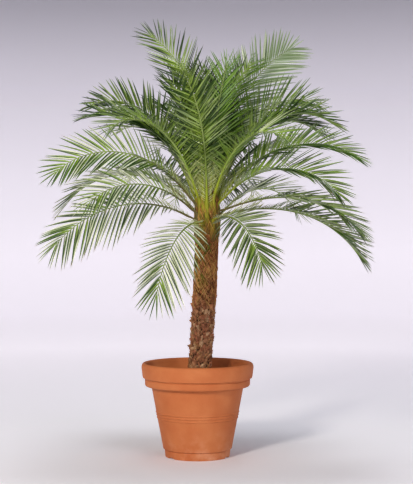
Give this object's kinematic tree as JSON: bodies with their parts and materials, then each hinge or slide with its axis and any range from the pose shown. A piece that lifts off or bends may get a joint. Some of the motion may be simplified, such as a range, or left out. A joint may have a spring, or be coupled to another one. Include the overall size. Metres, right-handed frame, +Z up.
{
  "type": "potted phoenix palm",
  "caption": "Small feather-leaved palm with a slim leaning trunk and an arching round head of fronds, standing in a round rimmed clay pot.",
  "frame": {"origin": "centre of the pot's flat underside, on the floor", "axes": "+Z up along the pot's axis, +X to the viewer's right in the picture, +Y away from the viewer"},
  "size_m": [1.3669, 1.2549, 1.7873],
  "materials": {
    "terracotta": "matt fired clay",
    "potting_mix": "moist crumbly composted bark",
    "palm_bark": "rough fibrous bark with old leaf stubs",
    "palm_leaf": "satin green leaf"
  },
  "bodies": {
    "root": {"pot": "terracotta", "potting_mix": "potting_mix", "trunk": "palm_bark", "low_left": "palm_leaf", "low_front_left": "palm_leaf", "low_front_right": "palm_leaf", "low_right": "palm_leaf", "mid_right": "palm_leaf", "mid_left": "palm_leaf", "arched_left": "palm_leaf", "wide_left": "palm_leaf", "arched_right": "palm_leaf", "wide_right": "palm_leaf", "shoulder_right": "palm_leaf", "far_right": "palm_leaf", "front_right": "palm_leaf", "upper_right": "palm_leaf", "upper_left": "palm_leaf", "shoulder_left": "palm_leaf", "front_left": "palm_leaf", "tall_right": "palm_leaf", "tall_left": "palm_leaf", "spear_right": "palm_leaf", "inner_front": "palm_leaf", "inner_left": "palm_leaf", "back_01": "palm_leaf", "back_02": "palm_leaf", "back_03": "palm_leaf", "back_04": "palm_leaf", "back_05": "palm_leaf", "back_06": "palm_leaf", "back_07": "palm_leaf", "back_08": "palm_leaf", "back_09": "palm_leaf", "back_10": "palm_leaf", "back_11": "palm_leaf", "back_12": "palm_leaf", "back_13": "palm_leaf", "young_1": "palm_leaf", "young_2": "palm_leaf", "young_3": "palm_leaf", "young_4": "palm_leaf", "young_5": "palm_leaf", "young_6": "palm_leaf"}
  },
  "joints": []
}
